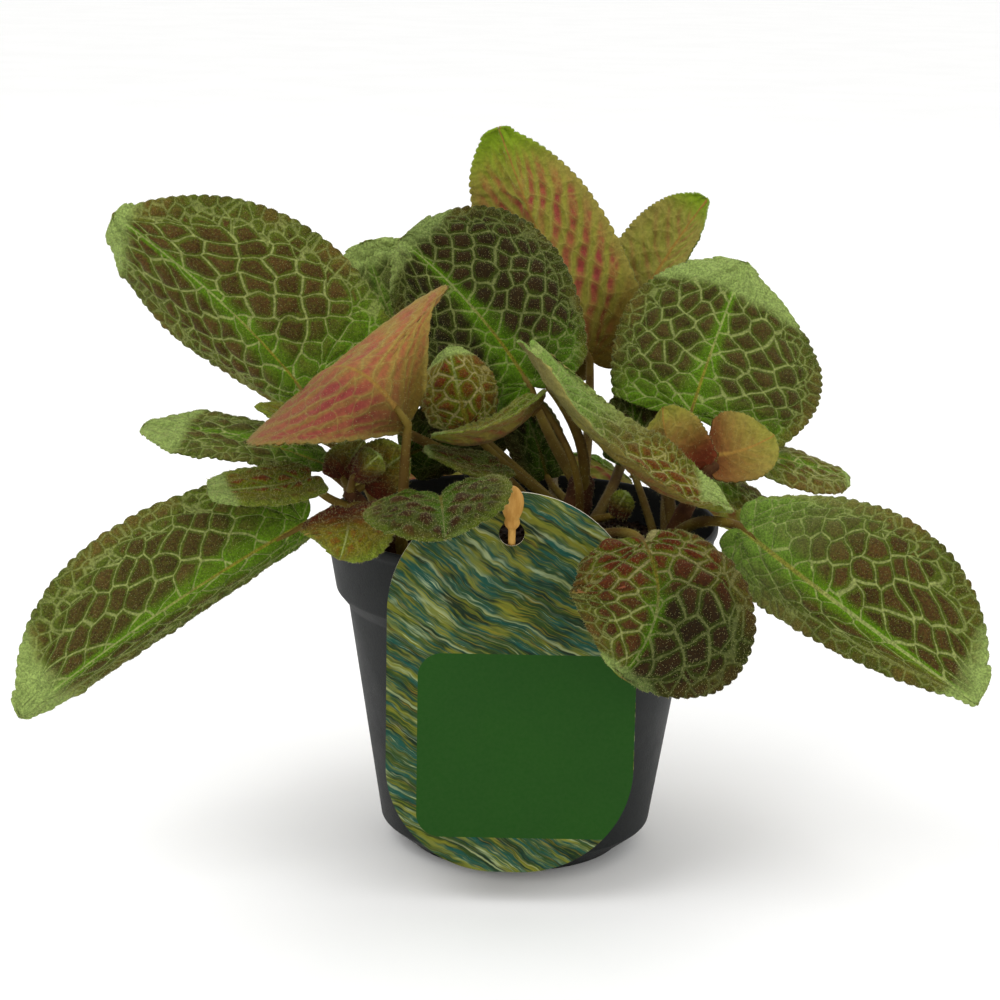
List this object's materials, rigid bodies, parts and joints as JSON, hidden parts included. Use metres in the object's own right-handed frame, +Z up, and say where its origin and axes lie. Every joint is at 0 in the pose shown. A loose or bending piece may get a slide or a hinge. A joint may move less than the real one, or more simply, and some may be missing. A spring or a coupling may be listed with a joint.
{
  "type": "potted flame violet",
  "caption": "Flame violet with quilted, toothed and hairy patterned leaves, growing in a plain tapered nursery pot with a label card hung on a wooden pick.",
  "frame": {"origin": "middle of the pot's foot, on the surface it stands on", "axes": "+Z up, -Y towards the front, where the label card hangs, +X to the right as seen from the front"},
  "size_m": [0.2728, 0.1953, 0.215],
  "materials": {
    "plastic": "satin",
    "compost": "matte",
    "leaf": "matte",
    "stem": "matte",
    "card": "satin",
    "pick_wood": "matte"
  },
  "bodies": {
    "root": {"pot": "plastic", "soil": "compost", "stem_main": "stem", "shoot_left": "stem", "shoot_right": "stem", "leaf_upper_left": "leaf", "leaf_back_left": "leaf", "leaf_centre_back": "leaf", "leaf_pink_cupped": "leaf", "leaf_young_centre": "leaf", "leaf_trough": "leaf", "leaf_folded_left": "leaf", "leaf_folded_low": "leaf", "leaf_top": "leaf", "leaf_top_right": "leaf", "leaf_right_upper": "leaf", "leaf_right_lower": "leaf", "leaf_over_card": "leaf", "leaf_left_lower": "leaf", "leaf_left_rolled": "leaf", "leaf_left_middle": "leaf", "leaf_left_tip": "leaf", "leaf_left_hanging": "leaf", "leaf_over_pick": "leaf", "leaf_right_thin": "leaf", "leaf_inner_left": "leaf", "leaf_inner_middle": "leaf", "leaf_inner_right": "leaf", "leaf_rear_left": "leaf", "leaf_rear_middle": "leaf", "leaf_rear_right": "leaf", "label_card": "card", "label_pick": "pick_wood"}
  },
  "joints": []
}
